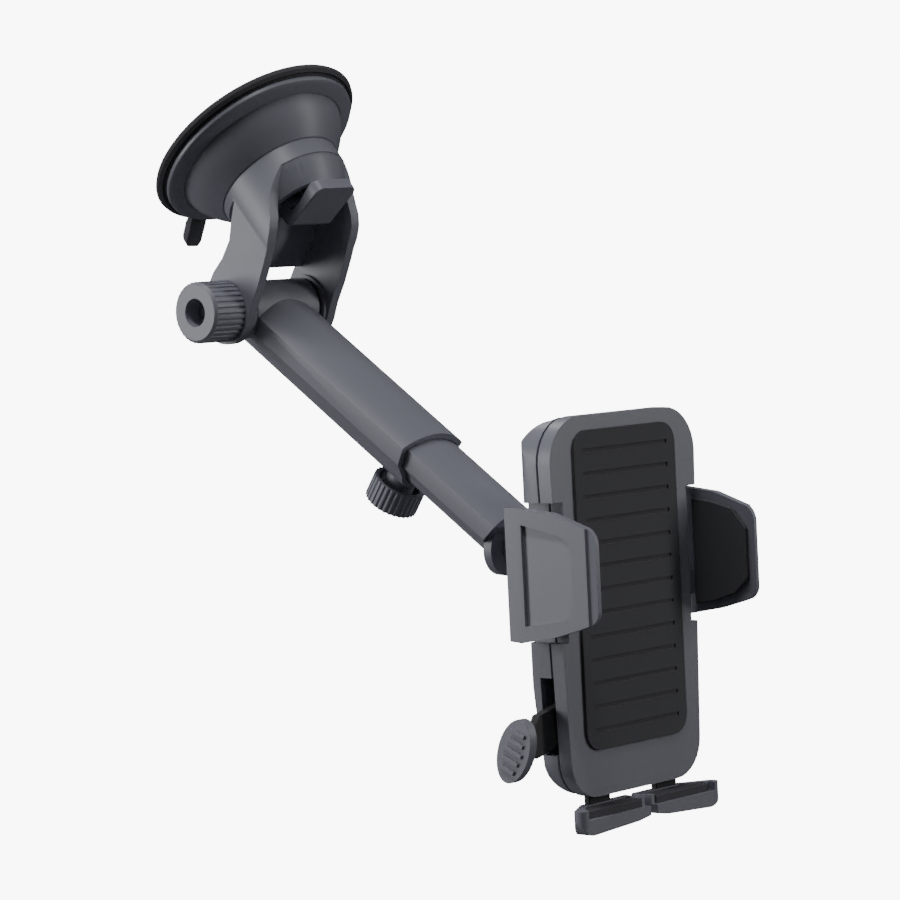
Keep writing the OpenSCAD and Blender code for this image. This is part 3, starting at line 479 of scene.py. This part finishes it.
def object_from(bm, name):
    mesh = bpy.data.meshes.new(name)
    bm.to_mesh(mesh)
    bm.free()
    # The CAD mesh's own normals don't fit the joined facets.
    if "custom_normal" in mesh.attributes:
        mesh.attributes.remove(mesh.attributes["custom_normal"])
    obj = bpy.data.objects.new(name, mesh)
    bpy.context.scene.collection.objects.link(obj)
    return obj


def rounded_moulding(name, node, radius, slot):
    """A moulded piece: the CAD shape with its edges rounded over."""
    sizes = bpy.context.scene.phone_mount.sizes
    obj = object_from(clean_copy(node, sizes.smooth_angle), name)
    if radius > 0:
        edge = obj.modifiers.new("soft_edges", "BEVEL")
        edge.width = radius * sizes.edge_scale * MM
        edge.segments = sizes.edge_steps
        edge.limit_method = "ANGLE"
        edge.angle_limit = ROUNDED_ANGLE
        edge.harden_normals = True
    settle(obj, node, slot)


class MountOperator:
    """Shared setup of the piece operators."""

    bl_options = {"REGISTER", "UNDO"}
    group = ""

    def execute(self, context):
        for name, node, radius, slot in MOULDINGS[self.group]:
            rounded_moulding(name, node, radius, slot)
        self.finish()
        return {"FINISHED"}

    def finish(self):
        """What a group still needs once its pieces stand."""


class PHONEMOUNT_OT_suction(MountOperator, bpy.types.Operator):
    """Rubber suction pad with its pull tab, and the domed housing above it."""

    bl_idname = "phone_mount.suction"
    bl_label = "Suction pad and dome"
    group = "suction"


class PHONEMOUNT_OT_neck(MountOperator, bpy.types.Operator):
    """Forked neck with its hood, and the locking lever inside it."""

    bl_idname = "phone_mount.neck"
    bl_label = "Forked neck and lever"
    group = "neck"


class PHONEMOUNT_OT_arm(MountOperator, bpy.types.Operator):
    """Two telescopic tubes, the end plug, the ball and the friction washers."""

    bl_idname = "phone_mount.arm"
    bl_label = "Telescopic arm"
    group = "arm"


class PHONEMOUNT_OT_knobs(MountOperator, bpy.types.Operator):
    """Knurled tilt knob, arm lock knob and ball nut."""

    bl_idname = "phone_mount.knobs"
    bl_label = "Knobs"
    group = "knobs"


class PHONEMOUNT_OT_cradle(MountOperator, bpy.types.Operator):
    """Back shell, front cover and ribbed front pad."""

    bl_idname = "phone_mount.cradle"
    bl_label = "Cradle"
    group = "cradle"


class PHONEMOUNT_OT_jaws(MountOperator, bpy.types.Operator):
    """Both side jaws and their cushions."""

    bl_idname = "phone_mount.jaws"
    bl_label = "Jaws"
    group = "jaws"


class PHONEMOUNT_OT_release(MountOperator, bpy.types.Operator):
    """Thumb lever that lets the jaws go."""

    bl_idname = "phone_mount.release"
    bl_label = "Release lever"
    group = "release"

    def finish(self):
        """Gives the paddle the colour of the shells. The lever's arm stays black."""
        lever = bpy.data.objects["thumb_lever"]
        lever.data.materials.append(material(SHELL))
        for face in lever.data.polygons:
            face.material_index = int(face.center.x < PADDLE_FACE_X)


class PHONEMOUNT_OT_feet(MountOperator, bpy.types.Operator):
    """Sliding legs with two feet and their cushions."""

    bl_idname = "phone_mount.feet"
    bl_label = "Feet"
    group = "feet"


class PHONEMOUNT_OT_hardware(bpy.types.Operator):
    """Gives screws, pins, springs and inner parts their metals and plastics."""

    bl_idname = "phone_mount.hardware"
    bl_label = "Inner hardware"
    bl_options = {"REGISTER", "UNDO"}

    def execute(self, context):
        for node, slot in HARDWARE.items():
            set_only_material(frame["nodes"][node], slot)
        return {"FINISHED"}


def soft_light(name, place, size, power):
    """A rectangular light that faces the middle of the mount."""
    data = bpy.data.lights.new(name, "AREA")
    data.shape = "RECTANGLE"
    data.size, data.size_y = size
    data.energy = power
    lamp = bpy.data.objects.new(name, data)
    lamp.location = place
    aim = Vector(LIGHT_TARGET) - Vector(place)
    lamp.rotation_euler = aim.to_track_quat("-Z", "Y").to_euler()
    bpy.context.scene.collection.objects.link(lamp)


class PHONEMOUNT_OT_stage(bpy.types.Operator):
    """Plain floor that the camera sees as bright, soft lights and the camera."""

    bl_idname = "phone_mount.stage"
    bl_label = "Stage"
    bl_options = {"REGISTER", "UNDO"}

    def execute(self, context):
        stage = context.scene.phone_mount.stage
        self.floor(stage)
        self.lights(stage)
        self.camera(context, stage)
        return {"FINISHED"}

    def floor(self, stage):
        bm = bmesh.new()
        floor_z = CAD_BOX[0][2] - stage.floor_drop
        bmesh.ops.create_grid(bm, x_segments=1, y_segments=1, size=FLOOR_HALF)
        bmesh.ops.translate(bm, verts=bm.verts, vec=(0, 0, floor_z))
        mesh = bpy.data.meshes.new("floor")
        bm.to_mesh(mesh)
        bm.free()
        obj = bpy.data.objects.new("floor", mesh)
        mat, tree, shader, coords = fresh_material("floor_paint")
        wear = noise(tree, coords, scale=3.0, detail=2.0)
        ramp = remap(tree, wear.outputs["Fac"], low=0.3, high=0.7, to_low=0.62, to_high=0.66)
        tree.links.new(ramp.outputs[0], shader.inputs["Roughness"])
        shader.inputs["Base Color"].default_value = (*stage.floor_colour, 1)
        glow = tree.nodes.new("ShaderNodeEmission")
        glow.inputs["Strength"].default_value = stage.backdrop
        self.seen_as(tree, shader.outputs["BSDF"], glow.outputs["Emission"],
                     tree.nodes["Material Output"])
        mesh.materials.append(mat)
        bpy.context.scene.collection.objects.link(obj)

    def seen_as(self, tree, lit, seen, output):
        """Shows one shader to the camera and the other to all other rays."""
        path = tree.nodes.new("ShaderNodeLightPath")
        mix = tree.nodes.new("ShaderNodeMixShader")
        tree.links.new(path.outputs["Is Camera Ray"], mix.inputs["Fac"])
        tree.links.new(lit, mix.inputs[1])
        tree.links.new(seen, mix.inputs[2])
        tree.links.new(mix.outputs[0], output.inputs["Surface"])

    def lights(self, stage):
        world = bpy.data.worlds.new("studio_air")
        bpy.context.scene.world = world
        world.use_nodes = True
        tree = world.node_tree
        air = tree.nodes["Background"]
        air.inputs["Color"].default_value = WHITE
        air.inputs["Strength"].default_value = stage.air
        view = tree.nodes.new("ShaderNodeBackground")
        view.inputs["Color"].default_value = WHITE
        view.inputs["Strength"].default_value = stage.backdrop
        self.seen_as(tree, air.outputs[0], view.outputs[0], tree.nodes["World Output"])
        for name, place, size, share in LIGHTS:
            power = stage.key_power if name == "key" else stage.fill_power
            soft_light(name, place, size, power * share)

    def camera(self, context, stage):
        data = bpy.data.cameras.new("camera")
        data.sensor_width = SENSOR_WIDTH_MM
        data.lens = stage.lens
        data.clip_start = CLIP_NEAR
        data.clip_end = CLIP_FAR
        cam = bpy.data.objects.new("camera", data)
        level = math.cos(CAMERA_DIP)
        ahead = Vector((math.sin(CAMERA_HEADING) * level, math.cos(CAMERA_HEADING) * level,
                        -math.sin(CAMERA_DIP)))
        turn = ahead.to_track_quat("-Z", "Y").to_matrix().to_4x4()
        cam.matrix_world = Matrix.Translation(CAMERA_PLACE) @ turn
        context.scene.collection.objects.link(cam)
        context.scene.camera = cam


class VIEW3D_PT_phone_mount(bpy.types.Panel):
    """Lists the pieces of the mount and their settings."""

    bl_label = "Phone Mount"
    bl_space_type = "VIEW_3D"
    bl_region_type = "UI"
    bl_category = "Phone Mount"

    def draw(self, context):
        mount = context.scene.phone_mount
        for part in (mount.finish, mount.sizes, mount.stage):
            box = self.layout.box()
            for key in part.__annotations__:
                box.prop(part, key)
        for cls in OPERATORS:
            self.layout.operator(cls.bl_idname)


GROUPS = (PhoneMountFinish, PhoneMountSizes, PhoneMountStage, PhoneMountSettings)
OPERATORS = (
    PHONEMOUNT_OT_suction, PHONEMOUNT_OT_neck, PHONEMOUNT_OT_arm, PHONEMOUNT_OT_knobs,
    PHONEMOUNT_OT_cradle, PHONEMOUNT_OT_jaws, PHONEMOUNT_OT_release, PHONEMOUNT_OT_feet,
    PHONEMOUNT_OT_hardware, PHONEMOUNT_OT_stage,
)


def register():
    for cls in (*GROUPS, *OPERATORS, VIEW3D_PT_phone_mount):
        bpy.utils.register_class(cls)
    bpy.types.Scene.phone_mount = PointerProperty(type=PhoneMountSettings)


def unregister():
    del bpy.types.Scene.phone_mount
    for cls in reversed((*GROUPS, *OPERATORS, VIEW3D_PT_phone_mount)):
        bpy.utils.unregister_class(cls)


def main():
    register()
    ops = bpy.ops.phone_mount
    ops.suction()
    ops.neck()
    ops.arm()
    ops.knobs()
    ops.cradle()
    ops.jaws()
    ops.release()
    ops.feet()
    ops.hardware()
    ops.stage()
    bpy.context.view_layer.update()


if __name__ == "__main__":
    main()
